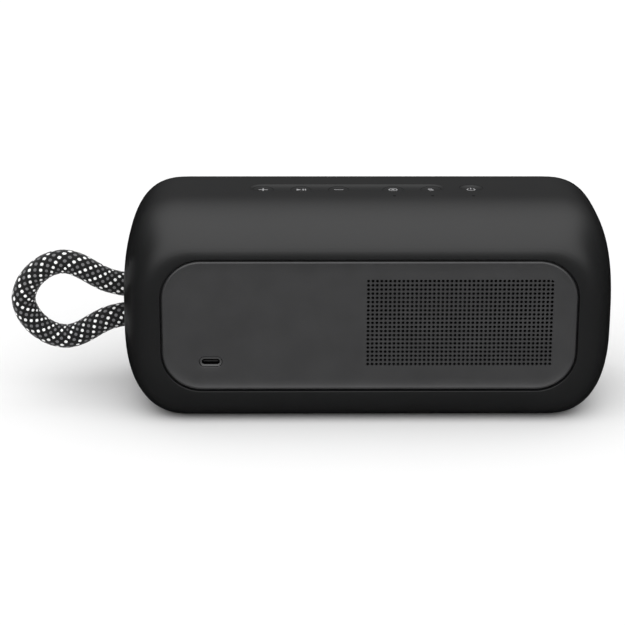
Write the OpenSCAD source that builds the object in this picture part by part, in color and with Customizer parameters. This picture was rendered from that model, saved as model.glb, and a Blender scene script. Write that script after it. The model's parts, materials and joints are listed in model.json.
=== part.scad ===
// Portable waterproof speaker in a soft sleeve, with a braided carry loop at its right end.
// Origin: middle of the underside. +Z is up, the front grille faces -Y and the rear panel +Y.

/* [Body] */
// Width over the domed ends
body_w = 230.5; // [226:0.5:235]
// Height of the sleeve's flat top above the table
body_h = 101; // [100:1:104]
// Depth from the front grille to the rear panel
body_d = 86; // [86:1:90]
// Wall of the soft sleeve
sleeve_t = 2.2; // [1.8:0.1:2.2]
// Wall of the rigid case under the sleeve
case_t = 2.5; // [2:0.1:2.6]

/* [Rear panel] */
// Width of the rear panel
panel_w = 190; // [180:1:192]
// Lower edge of the rear panel
panel_z0 = 17; // [16:0.5:19]
// Upper edge of the rear panel
panel_z1 = 78.7; // [77:0.1:80]
// Corner radius of the rear panel
panel_r = 18; // [14:1:22]
// Open groove between a panel and the sleeve
groove = 0.9; // [0.6:0.1:1.2]

/* [Front grille] */
// Width of the front grille
grille_w = 196; // [190:1:198]
// Lower edge of the front grille
grille_z0 = 18; // [17:0.5:19]
// Upper edge of the front grille
grille_z1 = 80; // [78:0.5:81]
// Corner radius of the front grille
grille_r = 20; // [16:1:24]

/* [Buttons] */
// Distance between neighbouring keys
key_pitch = 17.8; // [16:0.1:18]
// Diameter of a key in the strip
key_d = 9.6; // [8:0.1:9.8]
// Diameter of the power key
power_d = 11; // [10:0.1:12]
// Free play around a key
key_gap = 0.3; // [0.3:0.05:0.5]
// Width of the button strip from front to rear
strip_w = 13; // [12.5:0.1:13.5]
// Depth of the strip's floor below the sleeve's top
strip_drop = 0.6; // [0.4:0.1:0.8]

/* [Carry loop] */
// Thickness of the rope
rope_d = 11.6; // [10:0.1:11.8]
// Height of the loop's middle line
loop_z = 47.3; // [46:0.1:50]
// Distance of each rope end from the middle line
rope_offset = 7.4; // [7.2:0.1:8]

/* [Hidden] */
$fn = 48;
eps = 0.02;

// Body surface. A surface lies at an inset from the sleeve's outside: 0 is the outside itself.
front_y = -body_d / 2;
rear_y = body_d / 2;
foot_h = 1;
side_crown_y = -12;
top_crown = [-23, 10];
bottom_crown = [-23, 30];
side_roundness = 3;
corner_w = 31;
top_corner_h = 56;
bottom_corner_h = 42;
corner_power = 0.7;
corner_steps = 7;
depth_steps = 8;
// Each rim: half-width, top, bottom and corner radius of the opening in the sleeve
rear_rim = [panel_w / 2 + groove, panel_z1 + groove, panel_z0 - groove, panel_r + groove];
front_rim = [grille_w / 2 + groove, grille_z1 + groove, grille_z0 - groove, grille_r + groove];
case_gap = 0.3;
case_out = sleeve_t + case_gap;
case_in = case_out + case_t;
split_y = -20;

// Baffles
baffle_face = 33.5;
baffle_t = 2.5;
seat_y = rear_y - case_out;
mid_z = 49;
post_x = 44;
post_z = [23, 73.5];
post_d = 7;
front_radiator_r = 24;
rear_radiator_r = 19;
front_radiator_x = 69;
rear_radiator_x = [-21, -63.5];
woofer_x = 11;
tweeter_x = -30.2;
woofer_hole_r = 27.6;
tweeter_hole_r = 9;
roll_w = 6.3;

// Port
usb_x = 72.9;
usb_z = panel_z0 + 13.5;
// Sizes across and up: the opening, the steel shell, the recess round it and the boss that holds it
usb_open = [8.34, 2.6];
usb_outside = [9, 3.3];
usb_recess = [10.8, 5];
usb_boss = [16, 9.6];
usb_face_y = rear_y - 1.1;
board_y = [30.4, 32];
usb_back_y = board_y[1] + 2.5;

// Keys, from the carry loop's end
key_y = -3.7;
key_x = [for (k = [0:2]) 49 - k * key_pitch];
mode_key_x = [-12.2, -12.2 - key_pitch];
power_x = -49;
led_y = 10.7;
tray_top = 98.2;
tray_flange_z = [93.5, 95.2];
button_board_z = [89.4, 91];
switch_h = 2.2;
key_travel = 0.4;
// Underside of a key's stem at rest, and of the key itself
stem_z = button_board_z[1] + switch_h + key_travel + 0.3;
key_z = tray_top + 0.8;

// Rope route as distances from the body's middle and from the loop's middle line
half_route = [[101, 7.4], [106, 7.4], [111, 7.4], [115, 7.5], [119, 8.3], [123, 9.4], [126.5, 11],
  [130, 13], [134, 15.4], [138, 17.4], [142.5, 18.6], [147, 18.3], [151.5, 16.8], [155.5, 14.2],
  [159, 10.8], [162, 6], [163.5, 0]];
rope_sides = 12;

function clamp01(v) = max(0, min(1, v));
// 1 on the crown, falling to 0 at the rim: as a quarter ellipse for a power of 2, squarer above
function bulge(y, crown_y, rim_y, power) =
  pow(1 - pow(clamp01((y - crown_y) / (rim_y - crown_y)), power), 1 / power);
function is_rear(y) = y > side_crown_y;
function rim_depth(y, inset) = is_rear(y) ? rear_y - inset : front_y + inset;
function mix(a, b, t) = a + (b - a) * t;

// Closed outline of the body at one depth, four rounded corners joined by straight stretches
function outline(y, inset) = let(
    end = is_rear(y) ? 1 : 0,
    rim = is_rear(y) ? rear_rim : front_rim,
    rim_y = rim_depth(y, inset),
    side = bulge(y, side_crown_y, rim_y, side_roundness),
    up = bulge(y, top_crown[end], rim_y, 2),
    down = bulge(y, bottom_crown[end], rim_y, 2),
    half_w = mix(rim[0], body_w / 2 - inset, side),
    top = mix(rim[1], body_h - inset, up),
    bottom = mix(rim[2], foot_h + inset, down),
    rx = mix(rim[3], corner_w - inset, side),
    power = mix(1, corner_power, side))
  [for (q = [0:3]) for (k = [0:corner_steps]) let(
    turn = 90 * (q % 2 == 0 ? k : corner_steps - k) / corner_steps,
    rz = q < 2 ? mix(rim[3], top_corner_h - inset, up) : mix(rim[3], bottom_corner_h - inset, down),
    x = half_w - rx + rx * pow(cos(turn), power),
    z = rz - rz * pow(sin(turn), power))
    [q == 0 || q == 3 ? x : -x, y, q < 2 ? top - z : bottom + z]];

function depths(inset) = concat(
  [for (k = [depth_steps:-1:1]) mix(side_crown_y, front_y + inset, sin(90 * k / depth_steps))],
  [for (k = [0:depth_steps]) mix(side_crown_y, rear_y - inset, sin(90 * k / depth_steps))]);
function stations(y0, y1, inset) = let(
    low = max(y0, front_y + inset),
    high = min(y1, rear_y - inset))
  concat([low], [for (y = depths(inset)) if (y > low + 0.5 && y < high - 0.5) y], [high]);
function reversed(list) = [for (k = [len(list) - 1:-1:0]) list[k]];

// A shell between two insets, open at both ends, from one depth to another
module body_shell(y0, y1, outer, inner) {
  rings = concat([for (y = stations(y0, y1, outer)) outline(y, outer)],
    [for (y = reversed(stations(y0, y1, inner))) outline(y, inner)]);
  closed_sweep(rings);
}

// Joins rings of equal length into a tube that meets itself
module closed_sweep(rings) {
  m = len(rings[0]);
  n = len(rings);
  polyhedron(points = [for (r = rings) each r],
    faces = [for (i = [0:n - 1]) for (j = [0:m - 1]) let(
        a = i * m + j, b = i * m + (j + 1) % m,
        c = (i + 1) % n * m + (j + 1) % m, d = (i + 1) % n * m + j)
      each [[a, c, b], [a, d, c]]]);
}

module rounded_rect(half_w, top, bottom, r) {
  translate([-half_w + r, bottom]) square([2 * half_w - 2 * r, top - bottom]);
  translate([-half_w, bottom + r]) square([2 * half_w, top - bottom - 2 * r]);
  for (x = [-1, 1]) for (z = [bottom + r, top - r])
    translate([x * (half_w - r), z]) circle(r);
}

module pill(w, d) {
  square([w - d, d], center = true);
  for (s = [-1, 1]) translate([s * (w - d) / 2, 0]) circle(d / 2);
}

// A flat outline in X and Z given thickness along Y
module along_y(y0, y1) {
  translate([0, y1, 0]) rotate([90, 0, 0]) linear_extrude(y1 - y0) children();
}

module rim_plate(rim, margin, y0, y1) {
  along_y(y0, y1) rounded_rect(rim[0] - margin, rim[1] - margin, rim[2] + margin, rim[3] - margin);
}

module rim_wall(rim, margin, wall, y0, y1) {
  along_y(y0, y1) difference() {
    rounded_rect(rim[0] - margin, rim[1] - margin, rim[2] + margin, rim[3] - margin);
    rounded_rect(rim[0] - margin - wall, rim[1] - margin - wall, rim[2] + margin + wall,
      rim[3] - margin - wall);
  }
}

// Drivers stand on a baffle's inner face, with their own +Z out through the baffle
module on_front(x) { translate([x, -baffle_face, mid_z]) rotate([90, 0, 0]) children(); }
module on_rear(x) { translate([x, baffle_face, mid_z]) rotate([-90, 0, 0]) children(); }
module driver_hole(r) { translate([0, 0, -1]) cylinder(h = baffle_t + 7, r = r); }

module hole_y(x, z, r, y0, y1) {
  translate([x, y1, z]) rotate([90, 0, 0]) cylinder(h = y1 - y0, r = r);
}
module at_posts() { for (x = [-post_x, post_x]) for (z = post_z) translate([x, 0, z]) children(); }

// ---- Outside ----
module strip_outline(margin) {
  translate([(key_x[0] + mode_key_x[1]) / 2, key_y])
    pill(key_x[0] - mode_key_x[1] + strip_w + 2 * margin, strip_w + 2 * margin);
}

module rope_bores(r, x0, x1) {
  for (s = [-1, 1]) translate([x0, 0, loop_z + s * rope_offset]) rotate([0, 90, 0])
    cylinder(h = x1 - x0, r = r);
}

// A hole down through the sleeve's top in the shape of its children
module top_hole() { translate([0, 0, body_h - 6]) linear_extrude(10) children(); }

module outer_sleeve() color("#33353a") difference() {
  body_shell(front_y, rear_y, 0, sleeve_t);
  top_hole() strip_outline(0.1);
  top_hole() translate([power_x, key_y]) circle(d = power_d + 2 * key_gap);
  at_leds() top_hole() circle(r = 0.8);
  rope_bores(rope_d / 2 + 0.2, 105, 125);
}

module base_foot() color("#1b1b1d") translate([0, 1.5, 0]) linear_extrude(foot_h) pill(150, 26);

module front_grille() color("#3c3e42") {
  rim_plate(front_rim, groove, front_y, front_y + 1.2);
  rim_wall(front_rim, groove, 1.5, front_y + 1.2, -seat_y - 0.4);
}

module front_screen() color("#16171a") rim_plate(front_rim, groove + 0.3, -seat_y - 0.4, -seat_y);

// A pill of the port's kind, size across and up, with a margin all round
module usb_pill(size, margin, y0, y1) {
  translate([usb_x, 0, usb_z]) along_y(y0, y1) pill(size[0] + 2 * margin, size[1] + 2 * margin);
}

module rear_panel() color("#44474c") difference() {
  union() {
    rim_plate(rear_rim, groove, rear_y - 1.5, rear_y);
    rim_wall(rear_rim, groove, 2, seat_y + 0.4, rear_y - 1.5);
  }
  usb_pill(usb_recess, 0, seat_y, rear_y + 1);
}

module rear_screen() color("#16171a") difference() {
  rim_plate(rear_rim, groove + 0.3, seat_y, seat_y + 0.4);
  usb_pill(usb_boss, 0.3, seat_y - 1, seat_y + 1);
}

// ---- Case ----
module front_case() color("#26282b") body_shell(front_y, split_y - 0.5, case_out, case_in);

module case_gasket() color("#7a2f2a")
  body_shell(split_y - 0.5, split_y + 0.5, case_out + 0.6, case_in - 0.5);

module rear_case() color("#26282b") difference() {
  body_shell(split_y + 0.5, rear_y, case_out, case_in);
  translate([0, 0, body_h - 12]) linear_extrude(14) rounded_tray(0.2);
  rope_bores(rope_d / 2 + 0.3, 103, 118);
}

module front_baffle() color("#1f2023") difference() {
  union() {
    rim_plate(front_rim, 0.2, -baffle_face - baffle_t, -baffle_face);
    rim_wall(front_rim, 0.2, 2.5, -seat_y, -baffle_face - baffle_t + eps);
    at_posts() along_y(-baffle_face - eps, split_y) circle(d = post_d);
  }
  on_front(woofer_x) driver_hole(woofer_hole_r);
  on_front(tweeter_x) driver_hole(tweeter_hole_r);
  for (s = [-1, 1]) on_front(s * front_radiator_x) driver_hole(front_radiator_r);
  at_posts() hole_y(0, 0, 1.5, split_y - 12, split_y + 1);
}

module rear_baffle() color("#1f2023") difference() {
  union() {
    rim_plate(rear_rim, 0.2, baffle_face, baffle_face + baffle_t);
    rim_wall(rear_rim, 0.2, 2.5, baffle_face + baffle_t - eps, seat_y);
    at_posts() along_y(split_y + 0.2, baffle_face + eps) circle(d = post_d);
    usb_pill(usb_boss, 0, baffle_face + baffle_t - eps, seat_y + 0.4);
    at_board_corners() along_y(board_y[1], baffle_face + eps) circle(d = 5);
  }
  for (x = rear_radiator_x) on_rear(x) driver_hole(rear_radiator_r);
  usb_pill(usb_recess, 0, baffle_face - 1, seat_y + 1);
  at_posts() hole_y(0, 0, 1.7, split_y, baffle_face + baffle_t + 1);
  at_board_corners() hole_y(0, 0, 0.95, board_y[1] - 1, board_y[1] + 3);
}

module case_screws() color("#b9bcc0") at_posts() {
  hole_y(0, 0, 1.45, split_y - 11, baffle_face + baffle_t + eps);
  difference() {
    hole_y(0, 0, 2.8, baffle_face + baffle_t, baffle_face + baffle_t + 2.2);
    translate([0, baffle_face + baffle_t + 3, 0]) rotate([90, 0, 0]) cylinder(h = 1.8, r = 1.3, $fn = 6);
  }
}

// ---- Drivers ----
// Half-round roll of rubber between an inner and an outer radius
module roll(inner_r, outer_r, z) {
  mid_r = (inner_r + outer_r) / 2;
  big_r = (outer_r - inner_r) / 2 - 0.4;
  rotate_extrude() {
    difference() {
      translate([mid_r, z]) circle(big_r);
      translate([mid_r, z]) circle(big_r - 0.6);
      translate([inner_r, z - 2 * big_r]) square([outer_r - inner_r, 2 * big_r]);
    }
    translate([inner_r, z]) square([0.41 + 0.3, 0.6]);
    translate([outer_r - 0.71, z]) square([0.71, 0.6]);
  }
}

module woofer_frame() color("#2b2d30") on_front(woofer_x) difference() {
  rotate_extrude() polygon([[27, 0], [30, 0], [30, -2], [28.6, -2], [22, -18], [22, -20], [11, -20],
    [11, -18], [20, -18], [27, -2]]);
  for (k = [0:5]) rotate([0, 0, 60 * k]) translate([20, -6, -15]) cube([14, 12, 10]);
}
module woofer_top_plate() color("#8d9095") on_front(woofer_x)
  rotate_extrude() translate([10.7, -24]) square([12.3, 4]);
module woofer_magnet() color("#3a3a3c") on_front(woofer_x)
  rotate_extrude() translate([12.5, -34]) square([12.5, 10]);
module woofer_yoke() color("#8d9095") on_front(woofer_x) {
  translate([0, 0, -38]) cylinder(h = 4, r = 24);
  translate([0, 0, -34 - eps]) cylinder(h = 14, r = 8.8);
}
module woofer_spider() color("#b08a3c") on_front(woofer_x)
  rotate_extrude() polygon([[10.5, -17], [13, -16.2], [15.5, -17], [18, -16.2], [20, -17],
    [20, -17.6], [18, -16.8], [15.5, -17.6], [13, -16.8], [10.5, -17.6]]);
module woofer_surround() color("#141416") on_front(woofer_x) roll(21, 27, -1.8);
module woofer_cone() color("#1d1e20") on_front(woofer_x)
  rotate_extrude() polygon([[10.3, -12], [10.3, -10.8], [20.3, -1.2], [20.9, -1.2], [20.9, -2.2]]);
module woofer_dust_cap() color("#1d1e20") on_front(woofer_x)
  rotate_extrude() polygon([[0, -5.4], [0, -4.8], [5, -5.5], [8.8, -7.6], [10.1, -9], [9.3, -9],
    [8.3, -8.1], [4.8, -6.1]]);
module woofer_voice_coil() color("#b3693a") on_front(woofer_x)
  rotate_extrude() translate([9.4, -28]) square([0.8, 19]);

module tweeter_housing() color("#2b2d30") on_front(tweeter_x)
  rotate_extrude() polygon([[8, 0], [10.8, 0], [10.8, -9], [0, -9], [0, -5], [8, -5]]);
module tweeter_dome() color("#6f7276") on_front(tweeter_x)
  rotate_extrude() polygon([[0, 1.8], [0, 1.2], [3.6, 0.6], [6.5, -1.4], [6.5, -3.5], [7.2, -3.5],
    [7.2, -1.2], [4, 1.2]]);

module radiator_frame(r) rotate_extrude() translate([r, -2.2]) square([3.4, 2.2]);
module radiator_plate(r) translate([0, 0, -2.2]) cylinder(h = 3, r = r - roll_w);
module radiator_surround(r) roll(r - roll_w + 0.1, r, -1.6);

module radiator_frames() color("#2b2d30") {
  for (s = [-1, 1]) on_front(s * front_radiator_x) radiator_frame(front_radiator_r);
  for (x = rear_radiator_x) on_rear(x) radiator_frame(rear_radiator_r);
}
module front_left_radiator() color("#4a4c50") on_front(-front_radiator_x)
  radiator_plate(front_radiator_r);
module front_left_surround() color("#141416") on_front(-front_radiator_x)
  radiator_surround(front_radiator_r);
module front_right_radiator() color("#4a4c50") on_front(front_radiator_x)
  radiator_plate(front_radiator_r);
module front_right_surround() color("#141416") on_front(front_radiator_x)
  radiator_surround(front_radiator_r);
module rear_left_radiator() color("#4a4c50") on_rear(rear_radiator_x[1])
  radiator_plate(rear_radiator_r);
module rear_left_surround() color("#141416") on_rear(rear_radiator_x[1])
  radiator_surround(rear_radiator_r);
module rear_right_radiator() color("#4a4c50") on_rear(rear_radiator_x[0])
  radiator_plate(rear_radiator_r);
module rear_right_surround() color("#141416") on_rear(rear_radiator_x[0])
  radiator_surround(rear_radiator_r);

// ---- Power and electronics ----
cell_r = 9.2;
cell_y = 17.5;
cell_z = [39, 60];
cell_x = [26, 91];
board_x = [8, 92];
board_z = [22, 78];

module at_board_corners() {
  for (x = [board_x[0] + 5, board_x[1] - 5]) for (z = [board_z[0] + 5, board_z[1] - 5])
    translate([x, 0, z]) children();
}

module battery_cells() color("#2f6fb0") for (z = cell_z) {
  translate([cell_x[0], cell_y, z]) rotate([0, 90, 0]) cylinder(h = cell_x[1] - cell_x[0], r = cell_r);
  translate([cell_x[1] - eps, cell_y, z]) rotate([0, 90, 0]) cylinder(h = 1, r = 3);
}

module battery_cradle() color("#d8d8d2") {
  web_z = cell_z[0] - cell_r;
  web_h = cell_z[1] - cell_z[0] + 2 * cell_r;
  translate([cell_x[0] - 2.5, cell_y + cell_r + 0.2, web_z])
    cube([cell_x[1] - cell_x[0] + 6, 1.6, web_h]);
  for (x = [cell_x[0] - 2.5, cell_x[1] + 1.5])
    translate([x, cell_y - cell_r, web_z]) cube([2, 2 * cell_r + 0.3, web_h]);
}

module main_board() color("#1f5c3a") difference() {
  translate([board_x[0], board_y[0], board_z[0]])
    cube([board_x[1] - board_x[0], board_y[1] - board_y[0], board_z[1] - board_z[0]]);
  at_posts() hole_y(0, 0, post_d / 2 + 0.6, board_y[0] - 1, board_y[1] + 1);
  at_board_corners() hole_y(0, 0, 1.2, board_y[0] - 1, board_y[1] + 1);
}

module main_board_screws() color("#b9bcc0") at_board_corners() {
  hole_y(0, 0, 1.9, board_y[0] - 1.2, board_y[0]);
  hole_y(0, 0, 0.9, board_y[0] - eps, board_y[1] + 2.8);
}

module amplifier_heat_plate() color("#c9ccd0") translate([10, board_y[0] - 1.5, 34])
  cube([12, 1.5, 30]);

module antenna() color("#c8a24a") translate([56, board_y[0] - 0.8, 71.5]) cube([22, 0.8, 4.5]);

module usb_shell() color("#c9ccd0") difference() {
  usb_pill(usb_outside, 0, board_y[1], usb_face_y);
  usb_pill(usb_open, 0, usb_back_y, rear_y + 1);
}
module usb_tongue() color("#1b1b1d") translate([usb_x - 3.35, usb_back_y, usb_z - 0.35])
  cube([6.7, 6.3, 0.7]);
module usb_gasket() color("#3a3c40") difference() {
  usb_pill(usb_recess, -0.05, rear_y - 5, rear_y - 1.6);
  usb_pill(usb_outside, 0.05, rear_y - 6, rear_y);
}

// ---- Buttons ----
tray_size = [120, 28];
button_board_size = [112, 26];

module rounded_tray(margin) {
  w = tray_size[0] / 2 + margin;
  d = tray_size[1] / 2 + margin;
  rounded_rect(w, d, -d, 4);
}
module at_tray_corners() { for (x = [-53, 53]) for (y = [-10, 10]) translate([x, y, 0]) children(); }
module at_keys() {
  for (x = concat(key_x, mode_key_x, [power_x])) translate([x, key_y, 0]) children();
}
module at_leds() {
  for (x = [mode_key_x[0], mode_key_x[1], power_x]) translate([x, led_y, 0]) children();
}

module button_tray() color("#2a2c2f") difference() {
  union() {
    translate([0, 0, tray_flange_z[1] - eps]) linear_extrude(tray_top - tray_flange_z[1] + eps)
      rounded_tray(0);
    translate([0, 0, tray_flange_z[0]]) linear_extrude(tray_flange_z[1] - tray_flange_z[0])
      rounded_rect(63, 15, -15, 4);
    at_tray_corners() translate([0, 0, button_board_z[1]])
      cylinder(h = tray_flange_z[0] - button_board_z[1] + eps, d = 5);
  }
  at_keys() translate([0, 0, 92]) cylinder(h = 8, r = 2.8);
  at_leds() translate([0, 0, 92]) cylinder(h = 8, r = 0.9);
  at_tray_corners() translate([0, 0, button_board_z[1] - 1]) cylinder(h = 4.5, r = 1.05);
}

module button_board() color("#1f5c3a") difference() {
  translate([-button_board_size[0] / 2, -button_board_size[1] / 2, button_board_z[0]])
    cube([button_board_size[0], button_board_size[1], button_board_z[1] - button_board_z[0]]);
  at_tray_corners() translate([0, 0, button_board_z[0] - 1]) cylinder(h = 4, r = 1.3);
}

module button_board_screws() color("#b9bcc0") at_tray_corners() {
  translate([0, 0, button_board_z[0] - 1.4]) cylinder(h = 1.4, r = 2.1);
  translate([0, 0, button_board_z[0] - eps]) cylinder(h = 4.4, r = 1);
}

module tact_switches() color("#c9ccd0") at_keys() translate([-2.25, -2.25, button_board_z[1]])
  cube([4.5, 4.5, switch_h]);

module status_leds() color("#e8e6da") at_leds() translate([-0.8, -0.4, button_board_z[1]])
  cube([1.6, 0.8, 0.6]);

module light_pipes() color("#9fa3a8") at_leds() translate([0, 0, button_board_z[1] + 0.7])
  cylinder(h = body_h - button_board_z[1] - 0.8, r = 0.7);

module button_strip() color("#3a3c40") difference() {
  translate([0, 0, tray_top]) linear_extrude(body_h - strip_drop - 0.1 - tray_top) strip_outline(0);
  for (x = concat(key_x, mode_key_x)) translate([x, key_y, tray_top - 1])
    cylinder(h = 8, d = key_d + 2 * key_gap);
}

// A round key on a stem that reaches down to its switch
module key(x, d) translate([x, key_y, 0]) {
  translate([0, 0, key_z]) cylinder(h = body_h - strip_drop - key_z, d = d);
  translate([0, 0, stem_z]) cylinder(h = key_z - stem_z + eps, r = 2.5);
}

module volume_up_key() color("#404247") key(key_x[0], key_d);
module play_key() color("#404247") key(key_x[1], key_d);
module volume_down_key() color("#404247") key(key_x[2], key_d);
module shortcut_key() color("#404247") key(mode_key_x[0], key_d);
module pairing_key() color("#404247") key(mode_key_x[1], key_d);
module power_key() color("#404247") key(power_x, power_d);

// ---- Carry loop ----
clamp_x = [97, 108.5];
clamp_h = 40;
clamp_d = 18;

// One half of the block that grips both rope ends; side is -1 for the front half
module rope_clamp(side) difference() {
  translate([clamp_x[0], side > 0 ? 0.1 : -clamp_d / 2, loop_z - clamp_h / 2])
    cube([clamp_x[1] - clamp_x[0], clamp_d / 2 - 0.1, clamp_h]);
  rope_bores(rope_d / 2 + 0.05, clamp_x[0] + 4, clamp_x[1] + 1);
  for (s = [-1, 1]) hole_y(102.5, loop_z + s * 16.8, side > 0 ? 1.3 : 1.7, -10, 7);
}
module rope_clamp_front() color("#5a5d62") rope_clamp(-1);
module rope_clamp_rear() color("#5a5d62") rope_clamp(1);
module rope_clamp_screws() color("#b9bcc0") for (s = [-1, 1]) {
  hole_y(102.5, loop_z + s * 16.8, 1.25, -9 - eps, 6.5);
  hole_y(102.5, loop_z + s * 16.8, 2.6, -11, -9);
}

// Round tube along a flat route of [x, z] points, with a flat end at each end
module flat_tube(route, d, sides) {
  n = len(route);
  rings = [for (i = [0:n - 1]) let(
      ahead = route[min(i + 1, n - 1)] - route[max(i - 1, 0)],
      across = [-ahead[1], ahead[0]] / norm(ahead))
    [for (k = [0:sides - 1]) let(a = 360 * k / sides)
      [route[i][0] + d / 2 * cos(a) * across[0], d / 2 * sin(a),
       route[i][1] + d / 2 * cos(a) * across[1]]]];
  polyhedron(points = [for (r = rings) each r],
    faces = concat([[for (k = [0:sides - 1]) k]],
      [for (i = [0:n - 2]) for (k = [0:sides - 1]) let(
          a = i * sides + k, b = i * sides + (k + 1) % sides)
        each [[a, b + sides, b], [a, a + sides, b + sides]]],
      [[for (k = [sides - 1:-1:0]) (n - 1) * sides + k]]));
}

function loop_route() = concat([for (p = half_route) [p[0], loop_z + p[1]]],
  [for (k = [len(half_route) - 2:-1:0]) [half_route[k][0], loop_z - half_route[k][1]]]);

module carry_rope() color("#55585c") flat_tube(loop_route(), rope_d, rope_sides);

outer_sleeve();
base_foot();
front_grille();
front_screen();
front_baffle();
front_case();
case_gasket();
rear_case();
rear_baffle();
rear_screen();
rear_panel();
case_screws();
woofer_frame();
woofer_top_plate();
woofer_magnet();
woofer_yoke();
woofer_spider();
woofer_surround();
woofer_cone();
woofer_dust_cap();
woofer_voice_coil();
tweeter_housing();
tweeter_dome();
radiator_frames();
front_left_radiator();
front_left_surround();
front_right_radiator();
front_right_surround();
rear_left_radiator();
rear_left_surround();
rear_right_radiator();
rear_right_surround();
battery_cells();
battery_cradle();
main_board();
main_board_screws();
amplifier_heat_plate();
antenna();
usb_shell();
usb_tongue();
usb_gasket();
button_tray();
button_board();
button_board_screws();
tact_switches();
status_leds();
light_pipes();
button_strip();
volume_up_key();
play_key();
volume_down_key();
shortcut_key();
pairing_key();
power_key();
rope_clamp_front();
rope_clamp_rear();
rope_clamp_screws();
carry_rope();
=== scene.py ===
"""Looks of the portable speaker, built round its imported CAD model. Shapes are worked out in
millimetres and made in metres. +Z is up, the rear panel faces +Y, the carry loop is at +X."""
import bisect
import json
import math

import bmesh
import bpy
from mathutils import Matrix, Vector, geometry


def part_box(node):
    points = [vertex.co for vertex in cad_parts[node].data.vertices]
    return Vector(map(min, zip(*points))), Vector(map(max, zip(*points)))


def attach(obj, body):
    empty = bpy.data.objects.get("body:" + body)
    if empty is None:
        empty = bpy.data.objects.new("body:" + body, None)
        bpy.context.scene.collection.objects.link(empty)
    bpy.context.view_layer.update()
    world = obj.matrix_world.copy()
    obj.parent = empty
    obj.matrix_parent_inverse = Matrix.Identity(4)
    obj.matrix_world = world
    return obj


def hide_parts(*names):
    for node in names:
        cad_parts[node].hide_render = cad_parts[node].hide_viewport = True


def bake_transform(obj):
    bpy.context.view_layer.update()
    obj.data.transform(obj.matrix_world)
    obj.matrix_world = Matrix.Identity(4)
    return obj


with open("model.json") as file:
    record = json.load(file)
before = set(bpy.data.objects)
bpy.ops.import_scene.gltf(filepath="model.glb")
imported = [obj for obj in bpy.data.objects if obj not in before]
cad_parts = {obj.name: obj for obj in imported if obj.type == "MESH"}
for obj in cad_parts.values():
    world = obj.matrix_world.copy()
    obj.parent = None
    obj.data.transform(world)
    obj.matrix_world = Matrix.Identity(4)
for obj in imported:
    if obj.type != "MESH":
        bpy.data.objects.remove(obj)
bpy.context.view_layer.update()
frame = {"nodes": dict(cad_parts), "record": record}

MM = 0.001
SHARP = math.radians(35)


# ---- Camera ----
# Its place in millimetres, its angles in radians and its focal length in millimetres
CAMERA_AT = (35.6, 937.6, 349.75)
CAMERA_TURN = -0.0106
CAMERA_TILT = 0.3187
CAMERA_ROLL = -0.0025
CAMERA_LENS = 118.8


def add_camera():
    """A camera behind the speaker, looking along -Y and down by CAMERA_TILT."""
    level_right = Vector((-math.cos(CAMERA_TURN), -math.sin(CAMERA_TURN), 0))
    level_ahead = Vector((math.sin(CAMERA_TURN), -math.cos(CAMERA_TURN), 0))
    ahead = level_ahead * math.cos(CAMERA_TILT) - Vector((0, 0, math.sin(CAMERA_TILT)))
    down = level_right.cross(ahead) * -1
    right = level_right * math.cos(CAMERA_ROLL) + down * math.sin(CAMERA_ROLL)
    up = level_right * math.sin(CAMERA_ROLL) - down * math.cos(CAMERA_ROLL)
    camera = bpy.data.objects.new("camera", bpy.data.cameras.new("camera"))
    camera.data.lens = CAMERA_LENS
    camera.data.sensor_width = 36
    camera.data.clip_end = 50
    turn = Matrix((right, up, -ahead)).transposed()
    camera.matrix_world = Matrix.Translation(Vector(CAMERA_AT) * MM) @ turn.to_4x4()
    bpy.context.scene.collection.objects.link(camera)
    bpy.context.scene.camera = camera


# ---- Sizes ----
def box_mm(node):
    """Lowest and highest corner of a CAD node, in millimetres."""
    low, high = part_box(node)
    return low / MM, high / MM


sleeve_low, sleeve_high = box_mm("outer_sleeve")
panel_low, panel_high = box_mm("rear_panel")
grille_low, grille_high = box_mm("front_grille")
strip_low, strip_high = box_mm("button_strip")
rope_low, rope_high = box_mm("carry_rope")

BODY_W = sleeve_high.x - sleeve_low.x
BODY_TOP = sleeve_high.z
REAR_Y = sleeve_high.y
FRONT_Y = sleeve_low.y
# Gap between the sleeve and each plate, and the sleeve's thickness
GROOVE = 0.9
SLEEVE_T = 2.2


# ---- Mesh helpers ----
def make_mesh(name, points, faces, materials, smooth=True):
    """A piece from points in millimetres, with outward faces and sharp edges where it turns."""
    mesh = bpy.data.meshes.new(name)
    mesh.from_pydata([Vector(p) * MM for p in points], [], faces)
    piece = bpy.data.objects.new(name, mesh)
    bpy.context.scene.collection.objects.link(piece)
    for material in materials:
        mesh.materials.append(material)
    tidy_mesh(piece, smooth)
    return piece


def tidy_mesh(piece, smooth=True, merge=0.002 * MM):
    """Joins doubled points, turns faces outward and marks the sharp edges."""
    bm = bmesh.new()
    bm.from_mesh(piece.data)
    bmesh.ops.remove_doubles(bm, verts=bm.verts, dist=merge)
    bmesh.ops.dissolve_degenerate(bm, edges=bm.edges, dist=merge / 10)
    bmesh.ops.recalc_face_normals(bm, faces=bm.faces)
    bm.to_mesh(piece.data)
    bm.free()
    if smooth:
        piece.data.shade_smooth()
    else:
        piece.data.shade_flat()
    piece.data.set_sharp_from_angle(angle=SHARP)


def ring_faces(rings, size, closed=False):
    """Faces that join rings of size points each, one after another."""
    last = rings if closed else rings - 1
    return [(i * size + j, i * size + (j + 1) % size,
             (i + 1) % rings * size + (j + 1) % size, (i + 1) % rings * size + j)
            for i in range(last) for j in range(size)]


def sweep(name, rings, materials, closed=False):
    """A skin over rings of points: closed into a hoop, or with a flat face at each end."""
    size = len(rings[0])
    faces = ring_faces(len(rings), size, closed)
    if not closed:
        faces.append(tuple(range(size - 1, -1, -1)))
        faces.append(tuple((len(rings) - 1) * size + j for j in range(size)))
    return make_mesh(name, [p for ring in rings for p in ring], faces, materials)


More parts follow.
